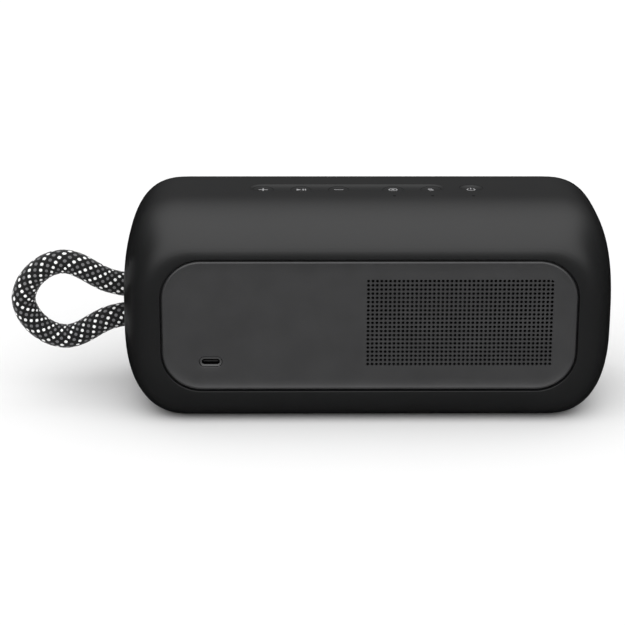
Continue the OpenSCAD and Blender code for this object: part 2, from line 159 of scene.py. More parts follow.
def cut(piece, cutters):
    """Takes the cutters away from a piece and removes them."""
    for cutter in cutters:
        modifier = piece.modifiers.new("cut", "BOOLEAN")
        modifier.object = cutter
        modifier.operation = "DIFFERENCE"
        modifier.solver = "EXACT"
        with bpy.context.temp_override(object=piece, active_object=piece):
            bpy.ops.object.modifier_apply(modifier=modifier.name)
        bpy.data.objects.remove(cutter)
    tidy_mesh(piece)


def finish_piece(piece, body, slot, *nodes):
    """Rides on a body and stands for CAD nodes. The slot is not used."""
    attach(piece, body)
    if nodes:
        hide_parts(*nodes)


def quarter_turn(steps):
    """Angles from 0 to 90 degrees, in radians."""
    return [math.radians(90 * k / steps) for k in range(steps + 1)]


def circle(x, y, r, steps=64):
    """Outline of a disc."""
    return [(x + r * math.cos(math.tau * k / steps), y + r * math.sin(math.tau * k / steps))
            for k in range(steps)]


def pill(x, y, length, width, steps=32):
    """Outline with two straight sides and round ends."""
    reach = (length - width) / 2
    ends = []
    for side, start in ((1, -90), (-1, 90)):
        for k in range(steps + 1):
            a = math.radians(start + 180 * k / steps)
            ends.append((x + side * reach + width / 2 * math.cos(a), y + width / 2 * math.sin(a)))
    return ends


def mix(a, b, t):
    """The value a share t of the way from a to b."""
    return a + (b - a) * t


# ---- Materials ----
# Distance between the bands of a wave texture whose scale is 1
WAVE_PERIOD = math.tau / 20


def node_material(name):
    """A new material with its nodes, its links and its shader."""
    material = bpy.data.materials.new(name)
    material.use_nodes = True
    nodes = material.node_tree.nodes
    return material, nodes, material.node_tree.links, nodes["Principled BSDF"]


def place(nodes, links, stretch=(1, 1, 1)):
    """Object coordinates in millimetres, stretched along each axis."""
    where = nodes.new("ShaderNodeTexCoord")
    scale = nodes.new("ShaderNodeMapping")
    scale.inputs["Scale"].default_value = [s / MM for s in stretch]
    links.new(where.outputs["Object"], scale.inputs["Vector"])
    return scale.outputs["Vector"]


def add_noise(nodes, links, vector, size, detail=3):
    """Noise whose grains are about size millimetres across."""
    grain = nodes.new("ShaderNodeTexNoise")
    grain.inputs["Scale"].default_value = 1 / size
    grain.inputs["Detail"].default_value = detail
    links.new(vector, grain.inputs["Vector"])
    return grain.outputs["Fac"]


def spread(nodes, links, value, low, high):
    """Maps the middle of a noise to a range."""
    span = nodes.new("ShaderNodeMapRange")
    span.inputs["From Min"].default_value = 0.3
    span.inputs["From Max"].default_value = 0.7
    span.inputs["To Min"].default_value = low
    span.inputs["To Max"].default_value = high
    links.new(value, span.inputs["Value"])
    return span.outputs["Result"]


def tint(nodes, links, shader, value, dark, light):
    """Colours the surface between two colours as a value goes from 0 to 1."""
    blend = nodes.new("ShaderNodeMix")
    blend.data_type = "RGBA"
    blend.inputs["A"].default_value = (*dark, 1)
    blend.inputs["B"].default_value = (*light, 1)
    links.new(value, blend.inputs["Factor"])
    links.new(blend.outputs["Result"], shader.inputs["Base Color"])


def bump(nodes, links, shader, height, depth):
    """Raises the surface by up to depth millimetres."""
    relief = nodes.new("ShaderNodeBump")
    relief.inputs["Distance"].default_value = depth * MM
    relief.inputs["Strength"].default_value = 1
    links.new(height, relief.inputs["Height"])
    links.new(relief.outputs["Normal"], shader.inputs["Normal"])


def grained(name, colour, rough, grain, depth, vary=0.08, metal=0.0, stretch=(1, 1, 1),
            specular=0.5, sheen=0.0, cloud=14):
    """A finish with fine grain in its surface and gloss, and a slightly clouded colour."""
    material, nodes, links, shader = node_material(name)
    vector = place(nodes, links, stretch)
    fine = add_noise(nodes, links, vector, grain)
    broad = add_noise(nodes, links, vector, cloud, 2)
    shade = spread(nodes, links, broad, 0, 1)
    dark = [c * (1 - vary) for c in colour]
    light = [c * (1 + vary) for c in colour]
    tint(nodes, links, shader, shade, dark, light)
    links.new(spread(nodes, links, fine, rough - 0.05, rough + 0.05), shader.inputs["Roughness"])
    bump(nodes, links, shader, fine, depth)
    shader.inputs["Metallic"].default_value = metal
    shader.inputs["Specular IOR Level"].default_value = specular
    if sheen:
        shader.inputs["Sheen Weight"].default_value = sheen
        shader.inputs["Sheen Roughness"].default_value = 0.4
    return material


def woven(name, colour, pitch, depth, specular=0.3):
    """A plain weave with a thread every pitch millimetres."""
    material, nodes, links, shader = node_material(name)
    vector = place(nodes, links)
    threads = []
    for direction in ("X", "Z"):
        wave = nodes.new("ShaderNodeTexWave")
        wave.bands_direction = direction
        wave.inputs["Scale"].default_value = WAVE_PERIOD / pitch
        wave.inputs["Distortion"].default_value = 0.4
        links.new(vector, wave.inputs["Vector"])
        threads.append(wave.outputs["Fac"])
    over = nodes.new("ShaderNodeMath")
    over.operation = "MULTIPLY"
    links.new(threads[0], over.inputs[0])
    links.new(threads[1], over.inputs[1])
    tint(nodes, links, shader, over.outputs[0], [c * 0.5 for c in colour], colour)
    bump(nodes, links, shader, over.outputs[0], depth)
    shader.inputs["Roughness"].default_value = 0.9
    shader.inputs["Specular IOR Level"].default_value = specular
    return material


def printed_board(name, mask):
    """Solder mask over copper tracks, with bare tinned pads."""
    material, nodes, links, shader = node_material(name)
    vector = place(nodes, links)
    tracks = nodes.new("ShaderNodeTexBrick")
    tracks.inputs["Scale"].default_value = 0.35
    tracks.inputs["Mortar Size"].default_value = 0.06
    tracks.inputs["Color1"].default_value = (*mask, 1)
    tracks.inputs["Color2"].default_value = (*[c * 0.8 for c in mask], 1)
    tracks.inputs["Mortar"].default_value = (*[c * 2.2 for c in mask], 1)
    links.new(vector, tracks.inputs["Vector"])
    pads = nodes.new("ShaderNodeTexVoronoi")
    pads.inputs["Scale"].default_value = 0.3
    links.new(vector, pads.inputs["Vector"])
    edge = nodes.new("ShaderNodeMath")
    edge.operation = "LESS_THAN"
    edge.inputs[1].default_value = 0.16
    links.new(pads.outputs["Distance"], edge.inputs[0])
    blend = nodes.new("ShaderNodeMix")
    blend.data_type = "RGBA"
    blend.inputs["B"].default_value = (0.6, 0.6, 0.58, 1)
    links.new(edge.outputs[0], blend.inputs["Factor"])
    links.new(tracks.outputs["Color"], blend.inputs["A"])
    links.new(blend.outputs["Result"], shader.inputs["Base Color"])
    links.new(edge.outputs[0], shader.inputs["Metallic"])
    bump(nodes, links, shader, tracks.outputs["Fac"], 0.03)
    shader.inputs["Roughness"].default_value = 0.35
    return material


def silicone(name):
    """The soft matt skin of the sleeve and the keys."""
    colour = (0.012, 0.0122, 0.0125)
    return grained(name, colour, 0.33, 0.25, 0.006, 0.05, cloud=30, specular=0.38)


def make_materials():
    """One finish for each material slot of the record. After its colour, a grained one gives its
    roughness, the size and depth of its grain in millimetres, how much its colour varies, 1 where
    it is metal, and how its grain is stretched."""
    return {
        "sleeve_silicone": silicone("sleeve_silicone"),
        "key_silicone": silicone("key_silicone"),
        "foot_rubber": grained("foot_rubber", (0.015, 0.015, 0.016), 0.8, 0.4, 0.03),
        "powder_coated_metal": grained("powder_coated_metal", (0.041, 0.041, 0.042), 0.35, 0.35,
                                       0.03, 0.07),
        "acoustic_cloth": woven("acoustic_cloth", (0.003, 0.003, 0.003), 0.35, 0.05, 0.1),
        "case_plastic": grained("case_plastic", (0.018, 0.018, 0.020), 0.55, 0.5, 0.02),
        "cradle_plastic": grained("cradle_plastic", (0.60, 0.60, 0.56), 0.5, 0.6, 0.02, 0.04),
        "clamp_plastic": grained("clamp_plastic", (0.10, 0.11, 0.12), 0.5, 0.4, 0.03, 0.15),
        "seal_rubber": grained("seal_rubber", (0.055, 0.055, 0.056), 0.4, 0.5, 0.006),
        "zinc_steel": grained("zinc_steel", (0.62, 0.62, 0.64), 0.32, 0.2, 0.004, 0.1, 1.0,
                              (1, 1, 0.2)),
        "magnet_ferrite": grained("magnet_ferrite", (0.05, 0.05, 0.055), 0.6, 0.3, 0.03, 0.2),
        "spider_cloth": woven("spider_cloth", (0.55, 0.36, 0.13), 0.6, 0.08),
        "roll_rubber": grained("roll_rubber", (0.010, 0.010, 0.011), 0.45, 0.5, 0.008),
        "cone_paper": grained("cone_paper", (0.020, 0.020, 0.022), 0.75, 0.35, 0.05, 0.25),
        "coil_copper": grained("coil_copper", (0.75, 0.36, 0.20), 0.3, 0.15, 0.02, 0.1, 1.0,
                               (0.1, 3, 0.1)),
        "dome_metal": grained("dome_metal", (0.55, 0.56, 0.58), 0.28, 0.15, 0.003, 0.05, 1.0),
        "radiator_plastic": grained("radiator_plastic", (0.06, 0.06, 0.065), 0.5, 0.4, 0.02),
        "cell_wrap": grained("cell_wrap", (0.05, 0.20, 0.45), 0.28, 1.2, 0.01, 0.06),
        "circuit_board": printed_board("circuit_board", (0.02, 0.14, 0.07)),
        "bare_aluminium": grained("bare_aluminium", (0.75, 0.76, 0.78), 0.35, 0.2, 0.006, 0.06, 1.0,
                                  (0.1, 1, 2)),
        "port_steel": grained("port_steel", (0.10, 0.10, 0.105), 0.35, 0.15, 0.002, 0.08, 1.0),
        "port_plastic": grained("port_plastic", (0.012, 0.012, 0.013), 0.5, 0.3, 0.006),
        "led_resin": grained("led_resin", (0.80, 0.78, 0.70), 0.25, 0.3, 0.003, 0.05),
        "light_pipe": grained("light_pipe", (0.004, 0.004, 0.0042), 0.5, 0.3, 0.001, 0.05, specular=0.1),
        "braided_rope": yarn("black_yarn", (0.009, 0.009, 0.0095)),
    }


def yarn(name, colour):
    """Twisted fibres, dull with a little sheen."""
    return grained(name, colour, 0.85, 0.18, 0.12, 0.18, stretch=(1, 1, 0.45), sheen=0.3,
                   specular=0.2, cloud=2.5)


# ---- Carry loop ----
LOOP_Z = (rope_low.z + rope_high.z) / 2
ROPE_D = rope_high.y - rope_low.y
# X of each point of the upper half of the loop, and its height over the loop's middle line
HALF_ROUTE = [(101, 7.4), (106, 7.4), (111, 7.4), (115, 7.5), (119, 8.3), (123, 9.4), (126.5, 11),
              (130, 13), (134, 15.4), (138, 17.4), (142.5, 18.6), (147, 18.3), (151.5, 16.8),
              (155.5, 14.2), (159, 10.8), (162, 6), (163.5, 0)]
# Steps of the smooth route between two of those points
ROUTE_STEPS = 8
# The braid's cells lie on a square lattice that slants round the rope. Once round it is so many
# cells along a line of one colour, and so many across such lines.
CELLS_ALONG = 10
CELLS_ACROSS = 8
# The lines that cut a cell, as shares of its side: black yarn runs along its border, and a dot of
# white or grey yarn lies between the second line and the last
CELL_LINES = (-0.5, -0.26, -0.17, 0, 0.17, 0.26)
BORDER = 0.4
DOT = 0.27
# The lattice is measured on a core this far under the rope's surface, and the yarn's heights start
# this far under the core
CORE_INSET = 0.2
YARN_BASE = 0.1
# Height of the black yarn, and its rise and fall
BLACK_H = 0.14
BLACK_WAVE = 0.08
# A dot is a crown on a base. It would fall back to the base at a span from its middle.
DOT_BASE_H = 0.06
DOT_CROWN_H = 0.2
DOT_SPAN = 0.32


def loop_route():
    """The loop's points from its upper exit round to its lower one."""
    top = [Vector((x, 0, LOOP_Z + z)) for x, z in HALF_ROUTE]
    bottom = [Vector((x, 0, LOOP_Z - z)) for x, z in reversed(HALF_ROUTE[:-1])]
    return top + bottom


def smooth_line(points, steps):
    """Points along one smooth curve through the given ones."""
    line = []
    for i in range(len(points) - 1):
        before = points[i - 1] if i else points[0] * 2 - points[1]
        after = points[i + 2] if i + 2 < len(points) else points[-1] * 2 - points[-2]
        a, b = points[i], points[i + 1]
        for k in range(steps):
            t = k / steps
            line.append(0.5 * (2 * a + (b - before) * t + (2 * before - 5 * a + 4 * b - after) * t ** 2
                               + (3 * a - before - 3 * b + after) * t ** 3))
    return line + [points[-1]]


class Line:
    """A smooth route and the place at each distance along it."""

    def __init__(self, points):
        self.points = points
        self.reach = [0]
        for a, b in zip(points, points[1:]):
            self.reach.append(self.reach[-1] + (b - a).length)

    def at(self, distance):
        """The place at a distance, and the direction that points out of the loop there."""
        i = min(max(bisect.bisect(self.reach, distance) - 1, 0), len(self.points) - 2)
        step = self.points[i + 1] - self.points[i]
        t = (distance - self.reach[i]) / (self.reach[i + 1] - self.reach[i])
        before, after = self.points[max(i - 1, 0)], self.points[min(i + 2, len(self.points) - 1)]
        ahead = mix(self.points[i + 1] - before, after - self.points[i], t).normalized()
        return self.points[i] + step * t, Vector((-ahead.z, 0, ahead.x))


def braid_height(s, t):
    """How far the yarn stands out at a place in a cell, in millimetres."""
    if abs(s) < DOT and abs(t) < DOT:
        return DOT_BASE_H + DOT_CROWN_H * (1 - (s / DOT_SPAN) ** 2) * (1 - (t / DOT_SPAN) ** 2)
    along = BLACK_H + BLACK_WAVE * math.cos(math.tau * s) if abs(t) > BORDER else 0
    across = BLACK_H - BLACK_WAVE * math.cos(math.tau * t) if abs(s) > BORDER else 0
    return max(along, across, 0)


def braid(line):
    """Points and faces of a tube that follows the lattice of the braid along a line, and the
    place of each face's yarn in the list of yarns."""
    length = line.reach[-1]
    core = ROPE_D / 2 - CORE_INSET
    cell = math.tau * core / math.hypot(CELLS_ALONG, CELLS_ACROSS)
    slant = math.atan2(CELLS_ACROSS, CELLS_ALONG)
    cuts = len(CELL_LINES)
    numbers, points, faces, kinds = {}, [], [], []

    def corner(i, j):
        while i >= CELLS_ALONG * cuts:
            i, j = i - CELLS_ALONG * cuts, j - CELLS_ACROSS * cuts
        if (i, j) not in numbers:
            s, t = CELL_LINES[i % cuts], CELL_LINES[j % cuts]
            row, column = i // cuts + s, j // cuts + t
            round_it = cell * (row * math.cos(slant) + column * math.sin(slant))
            along = cell * (row * math.sin(slant) - column * math.cos(slant))
            centre, outward = line.at(along)
            turn = round_it / core
            radius = core + braid_height(s, t) - YARN_BASE
            spoke = math.cos(turn) * outward + math.sin(turn) * Vector((0, 1, 0))
            points.append(centre + radius * spoke)
            numbers[i, j] = len(points) - 1
        return numbers[i, j]

    # Enough columns to reach both ends of the line from any row
    reach = int(length / cell * 1.5)
    for row in range(CELLS_ALONG):
        for column in range(-reach, reach):
            middle = cell * (row * math.sin(slant) - column * math.cos(slant))
            if not cell < middle < length - cell:
                continue
            for a in range(cuts):
                for b in range(cuts):
                    i, j = row * cuts + a, column * cuts + b
                    faces.append((corner(i, j), corner(i + 1, j), corner(i + 1, j + 1), corner(i, j + 1)))
                    at_corner = a in (1, cuts - 2) and b in (1, cuts - 2)
                    coloured = 0 < a < cuts - 1 and 0 < b < cuts - 1 and not at_corner
                    kinds.append(1 + column % 2 if coloured else 0)
    return points, faces, kinds


def add_rope(materials):
    """The braided loop, closed at both ends inside the sleeve."""
    line = Line(smooth_line(loop_route(), ROUTE_STEPS))
    points, faces, kinds = braid(line)
    yarns = [materials["braided_rope"], yarn("white_yarn", (0.9, 0.9, 0.9)),
             yarn("grey_yarn", (0.16, 0.16, 0.165))]
    mesh = bpy.data.meshes.new("carry_rope_braid")
    mesh.from_pydata([p * MM for p in points], [], faces)
    for material in yarns:
        mesh.materials.append(material)
    mesh.polygons.foreach_set("material_index", kinds)
    rope = bpy.data.objects.new("carry_rope_braid", mesh)
    bpy.context.scene.collection.objects.link(rope)
    bm = bmesh.new()
    bm.from_mesh(mesh)
    bmesh.ops.holes_fill(bm, edges=[e for e in bm.edges if e.is_boundary], sides=0)
    bmesh.ops.recalc_face_normals(bm, faces=bm.faces)
    bm.to_mesh(mesh)
    bm.free()
    mesh.shade_smooth()
    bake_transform(rope)
    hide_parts("carry_rope")
    [tuple(p * MM) for p in line.points]


# ---- Sleeve ----
# The sides stand out furthest at one Y. The top and the bottom are level between two.
SIDE_CROWN_Y = -12
TOP_CROWN = (-23, 10)
BOTTOM_CROWN = (-23, 30)
# Power of the curve from there to the rims, for the sides and for the top and bottom
SIDE_POWER = 3
TOP_POWER = 2
# Width and heights of the outline's corners where the body is widest, and their squareness
CORNER_W = 31
TOP_CORNER_H = 56
BOTTOM_CORNER_H = 42
CORNER_POWER = 0.7
FOOT_H = sleeve_low.z
PANEL_R = 18
GRILLE_R = 20
CORNER_STEPS = 22
SIDE_STEPS = 5
TOP_STEPS = 30
RING_STEPS = 24
# Extra rings where the sides turn over: at nine sixteenths of their way out and each one below
TURN_STEPS = 16
TURN_RINGS = 9
LIP_R = 0.25
LIP_STEPS = 6


def plate_rim(low, high, radius):
    """Half-width, top, bottom and corner radius of the sleeve's opening round a plate."""
    return ((high.x - low.x) / 2 + GROOVE, high.z + GROOVE, low.z - GROOVE, radius + GROOVE)


REAR_RIM = plate_rim(panel_low, panel_high, PANEL_R)
FRONT_RIM = plate_rim(grille_low, grille_high, GRILLE_R)


def bulge(y, crown_y, rim_y, power):
    """How far the surface stands out at a depth, from 0 at the rim to 1 at the crown."""
    t = max(0, min(1, (y - crown_y) / (rim_y - crown_y)))
    return (1 - t ** power) ** (1 / power)


def corners(half_w, top, bottom, rx, rz_top, rz_bottom, power):
    """Outline of four rounded corners with evenly split sides between them."""
    arcs = []
    for q in range(4):
        rz = rz_top if q < 2 else rz_bottom
        for k in range(CORNER_STEPS + 1):
            a = math.radians(90 * (k if q % 2 == 0 else CORNER_STEPS - k) / CORNER_STEPS)
            x = half_w - rx + rx * max(math.cos(a), 0) ** power
            z = rz - rz * math.sin(a) ** power
            arcs.append((x if q in (0, 3) else -x, top - z if q < 2 else bottom + z))
        x, z = arcs[-1]
        if q % 2 == 0:
            steps, end_x, end_z = TOP_STEPS, -x, z
        else:
            steps, end_x, end_z = SIDE_STEPS, x, bottom + rz_bottom if q == 1 else top - rz_top
        arcs += [(mix(x, end_x, k / steps), mix(z, end_z, k / steps)) for k in range(1, steps)]
    return arcs


def outline(y, inset):
    """The body's outline at one depth, for a surface that lies inset inside the outer one."""
    rear = y > SIDE_CROWN_Y
    rim = REAR_RIM if rear else FRONT_RIM
    rim_y = REAR_Y - inset if rear else FRONT_Y + inset
    side = bulge(y, SIDE_CROWN_Y, rim_y, SIDE_POWER)
    up = bulge(y, TOP_CROWN[rear], rim_y, TOP_POWER)
    down = bulge(y, BOTTOM_CROWN[rear], rim_y, TOP_POWER)
    flat = corners(mix(rim[0], BODY_W / 2 - inset, side), mix(rim[1], BODY_TOP - inset, up),
                   mix(rim[2], FOOT_H + inset, down), mix(rim[3], CORNER_W - inset, side),
                   mix(rim[3], TOP_CORNER_H - inset, up), mix(rim[3], BOTTOM_CORNER_H - inset, down),
                   mix(1, CORNER_POWER, side))
    return [(x, y, z) for x, z in flat]


def rim_outline(rim, margin, y):
    """The edge of an opening, larger by a margin, at one depth."""
    half_w, top, bottom, r = rim
    r += margin
    flat = corners(half_w + margin, top + margin, bottom - margin, r, r, r, 1)
    return [(x, y, z) for x, z in flat]


def ring_shares():
    """Shares of the way from the crown to a rim, closer together where the surface turns over."""
    even = [math.sin(math.radians(90 * k / RING_STEPS)) for k in range(RING_STEPS - 1)]
    turned = [(1 - (s / TURN_STEPS) ** SIDE_POWER) ** (1 / SIDE_POWER)
              for s in range(TURN_RINGS, 0, -1)]
    return sorted(even + turned)


def lip(rim, face_y, side):
    """Rings of the rounded edge of an opening, from the outer face to the inner wall."""
    rings = []
    for a in quarter_turn(LIP_STEPS):
        margin, depth = LIP_R * (1 - math.sin(a)), LIP_R * (1 - math.cos(a))
        rings.append(rim_outline(rim, margin, face_y - side * depth))
    return rings


def sleeve_surface(inset):
    """Rings from the front rim to the rear one, at one inset, without the rims themselves."""
    shares = ring_shares()
    front = [mix(SIDE_CROWN_Y, FRONT_Y + inset, t) for t in reversed(shares[1:])]
    rear = [mix(SIDE_CROWN_Y, REAR_Y - inset, t) for t in shares]
    return [outline(y, inset) for y in front + rear]


def prism(outline_xy, low, high):
    """A cutter with an outline in X and Y."""
    rings = [[(x, y, z) for x, y in outline_xy] for z in (low, high)]
    return sweep("cutter", rings, [])


def bore(z, r, x0, x1):
    """A round cutter along X."""
    rings = [[(x, a, z + b) for a, b in circle(0, 0, r)] for x in (x0, x1)]
    return sweep("cutter", rings, [])


KEYS = ("volume_up", "play", "volume_down", "shortcut", "pairing", "power")
LIT_KEYS = ("shortcut", "pairing", "power")
STRIP_KEYS = KEYS[:5]
KEY_GAP = 0.12
KEY_HOLE_STEPS = 96
LIGHT_HOLE_R = 0.8
LIGHT_HOLE_STEPS = 24
# How far the cutters reach below and above the sleeve's top
CUT_BELOW = 6
CUT_ABOVE = 4
# The rope's two bores: from X to X, and the gap round the rope
BORE_X = (104, 126)
BORE_GAP = 0.15
STRIP_L = strip_high.x - strip_low.x
STRIP_W = strip_high.y - strip_low.y
STRIP_X = (strip_low.x + strip_high.x) / 2
KEY_Y = (strip_low.y + strip_high.y) / 2


def key_place(name):
    """Middle and radius of a key, in millimetres."""
    low, high = box_mm(name + "_key")
    return (low.x + high.x) / 2, (low.y + high.y) / 2, (high.x - low.x) / 2


def add_sleeve(materials):
    """The soft sleeve: an outer and an inner skin, with holes for the keys, lights and rope."""
    outer, inner = sleeve_surface(0), sleeve_surface(SLEEVE_T)
    rings = list(reversed(lip(FRONT_RIM, FRONT_Y, -1))) + outer + lip(REAR_RIM, REAR_Y, 1)
    rings += [rim_outline(REAR_RIM, 0, REAR_Y - SLEEVE_T)] + list(reversed(inner))
    rings += [rim_outline(FRONT_RIM, 0, FRONT_Y + SLEEVE_T)]
    sleeve = sweep("sleeve_skin", rings, [materials["sleeve_silicone"]], closed=True)
    low, high = BODY_TOP - CUT_BELOW, BODY_TOP + CUT_ABOVE
    power_x, power_y, power_r = key_place("power")
    led_y = sum(c.y for c in box_mm("light_pipes")) / 2
    cutters = [prism(pill(STRIP_X, KEY_Y, STRIP_L, STRIP_W), low, high),
               prism(circle(power_x, power_y, power_r + KEY_GAP, KEY_HOLE_STEPS), low, high)]
    cutters += [prism(circle(key_place(k)[0], led_y, LIGHT_HOLE_R, LIGHT_HOLE_STEPS), low, high)
                for k in LIT_KEYS]
    offset = HALF_ROUTE[0][1]
    cutters += [bore(LOOP_Z + s * offset, ROPE_D / 2 + BORE_GAP, *BORE_X) for s in (-1, 1)]
    cut(sleeve, cutters)
    finish_piece(sleeve, "root", "sleeve_silicone", "outer_sleeve")


# ---- Perforated plates ----
PITCH = 2.0
HOLE_R = 0.7
PLATE_T = 1.5
RIM_T = 2.0
# The plate's edge is rolled over, and inside it a border sinks to the flat face
EDGE_ROLL = 0.9
EDGE_STEPS = 6
DISH_W = 7
DISH_DEPTH = 0.65
DISH_POWER = 3
BORDER_INSETS = (1.2, 1.6, 2.1, 2.7, 3.4, 4.2, 5.1, 6, DISH_W)
# How near two points may be before they are taken as one
NEAR = 1e-5


class Plate:
    """A perforated plate: its outline, its face and which way it looks. Depth goes inward."""

    def __init__(self, low, high, radius, face_y, side):
        self.half_w = (high.x - low.x) / 2
        self.top, self.bottom, self.radius = high.z, low.z, radius
        self.face_y, self.side = face_y, side
        self.skirt = high.y - low.y
        self.points, self.faces = [], []

    def point(self, x, z, depth):
        """The place at a depth under the plate's highest face."""
        return (x, self.face_y - self.side * depth, z)

    def outline(self, inset):
        """The plate's edge, smaller by an inset."""
        r = self.radius - inset
        return corners(self.half_w - inset, self.top - inset, self.bottom + inset, r, r, r, 1)

    def edge_distance(self, x, z):
        """How far a place lies from the outline, inside it."""
        dx = abs(x) - (self.half_w - self.radius)
        dz = abs(z - (self.top + self.bottom) / 2) - ((self.top - self.bottom) / 2 - self.radius)
        if dx > 0 and dz > 0:
            return self.radius - math.hypot(dx, dz)
        return self.radius - max(dx, dz)

    def dish(self, inset):
        """Depth of the face, which sinks from its raised border to a flat middle."""
        return DISH_DEPTH * (1 - (1 - (inset - EDGE_ROLL) / (DISH_W - EDGE_ROLL)) ** DISH_POWER)

    def add(self, points, faces):
        """Takes in points, and faces that count from the first of them."""
        first = len(self.points)
        self.points += points
        self.faces += [tuple(first + i for i in face) for face in faces]

    def add_rings(self, rings):
        """Joins loops of flat points, each with its own depth."""
        points = [self.point(x, z, depth) for loop, depth in rings for x, z in loop]
        self.add(points, ring_faces(len(rings), len(rings[0][0])))

    def add_sheet(self, loops, cells, depth):
        """Fills a flat region between an outer loop, the cells and any inner loops."""
        flat, edges = [], []
        for loop in loops:
            first, size = len(flat), len(loop)
            flat += loop
            edges += [(first + k, first + (k + 1) % size) for k in range(size)]
        taken = {}

        def corner(i, j):
            if (i, j) not in taken:
                taken[i, j] = len(flat)
                flat.append(self.cell_corner(i, j))
            return taken[i, j]

        for i, j in sorted(cells):
            for (di, dj), a, b in (((-1, 0), (0, 0), (0, 1)), ((1, 0), (1, 0), (1, 1)),
                                   ((0, -1), (0, 0), (1, 0)), ((0, 1), (0, 1), (1, 1))):
                if (i + di, j + dj) not in cells:
                    edges.append((corner(i + a[0], j + a[1]), corner(i + b[0], j + b[1])))
        made = geometry.delaunay_2d_cdt([Vector(p) for p in flat], edges, [], 0, NEAR)
        keep = []
        for face in made[2]:
            x = sum(made[0][i].x for i in face) / len(face)
            z = sum(made[0][i].y for i in face) / len(face)
            in_port = any(inside(x, z, loop) for loop in loops[1:])
            if self.cell_of(x, z) not in cells and not in_port:
                keep.append(tuple(face))
        self.add([self.point(p.x, p.y, depth) for p in made[0]], keep)

    def set_grid(self, x0, z0):
        """The middle of cell (0, 0)."""
        self.x0, self.z0 = x0, z0

    def cell_corner(self, i, j):
        """The corner of cell (i, j) with the lowest X and Z."""
        return (self.x0 + (i - 0.5) * PITCH, self.z0 + (j - 0.5) * PITCH)

    def cell_of(self, x, z):
        """The cell that a place lies in."""
        return math.floor((x - self.x0) / PITCH + 0.5), math.floor((z - self.z0) / PITCH + 0.5)

    def add_holes(self, cells, sides):
        """A real hole in each cell: both faces of the plate and the wall between them."""
        quarter = sides // 4
        ring = [(math.cos(math.tau * k / sides), math.sin(math.tau * k / sides)) for k in range(sides)]
        square = [(1, 1), (-1, 1), (-1, -1), (1, -1)]
        layer_size = sides + len(square)
        faces = []
        for layer in (0, 1):
            first = layer * layer_size
            for q in range(4):
                hub = first + sides + q
                around = [first + (q * quarter + k) % sides for k in range(quarter + 1)]
                faces += [(hub, a, b) for a, b in zip(around, around[1:])]
                faces.append((hub, around[-1], first + sides + (q + 1) % 4))
        faces += [(k, (k + 1) % sides, layer_size + (k + 1) % sides, layer_size + k)
                  for k in range(sides)]
        for i, j in sorted(cells):
            x, z = self.x0 + i * PITCH, self.z0 + j * PITCH
            points = []
            for depth in (DISH_DEPTH, PLATE_T):
                points += [self.point(x + HOLE_R * a, z + HOLE_R * b, depth) for a, b in ring]
                points += [self.point(x + PITCH / 2 * a, z + PITCH / 2 * b, depth) for a, b in square]
            self.add(points, faces)

    def add_edge(self):
        """The skirt, the rolled edge and the border that leads down to the flat face."""
        rings = [(self.outline(RIM_T), PLATE_T), (self.outline(RIM_T), self.skirt),
                 (self.outline(0), self.skirt)]
        for a in quarter_turn(EDGE_STEPS):
            rings.append((self.outline(EDGE_ROLL * (1 - math.cos(a))), EDGE_ROLL * (1 - math.sin(a))))
        for inset in BORDER_INSETS:
            rings.append((self.outline(inset), self.dish(inset)))
        self.add_rings(rings)

    def build(self, name, cells, sides, ports, materials):
        """Makes the plate. A port gives its outline for a margin. It is cut right through, with a
        softened front edge."""
        self.add_edge()
        self.add_holes(cells, sides)
        self.add_sheet([self.outline(DISH_W)] + [port(PORT_SOFT) for port in ports], cells, DISH_DEPTH)
        self.add_sheet([self.outline(RIM_T)] + [port(0) for port in ports], cells, PLATE_T)
        for port in ports:
            rings = []
            for a in quarter_turn(PORT_STEPS):
                depth = DISH_DEPTH + PORT_SOFT * (1 - math.cos(a))
                rings.append((port(PORT_SOFT * (1 - math.sin(a))), depth))
            rings.append((port(0), PLATE_T))
            self.add_rings(rings)
        return make_mesh(name, self.points, self.faces, materials)


def inside(x, z, loop):
    """Whether a place lies inside a closed loop."""
    hit = False
    for (x0, z0), (x1, z1) in zip(loop, loop[1:] + loop[:1]):
        if (z0 > z) != (z1 > z) and x < x0 + (z - z0) * (x1 - x0) / (z1 - z0):
            hit = not hit
    return hit


# The rear holes run from the first one towards -X and down
HOLE_COLUMNS = 43
HOLE_ROWS = 21
FIRST_HOLE = (0.6, 69.3)
REAR_HOLE_SIDES = 16
PORT_L = 10.8
PORT_W = 5.0
PORT_SOFT = 0.2
PORT_STEPS = 4
PORT_END_STEPS = 16
# The front holes fill the grille up to a margin round its edge
FRONT_MARGIN = 8.6
FRONT_HOLE_SIDES = 12
FRONT_REACH = 50


def port_place():
    """X and Z of the socket's middle, in millimetres."""
    low, high = box_mm("usb_shell")
    return (low.x + high.x) / 2, (low.z + high.z) / 2


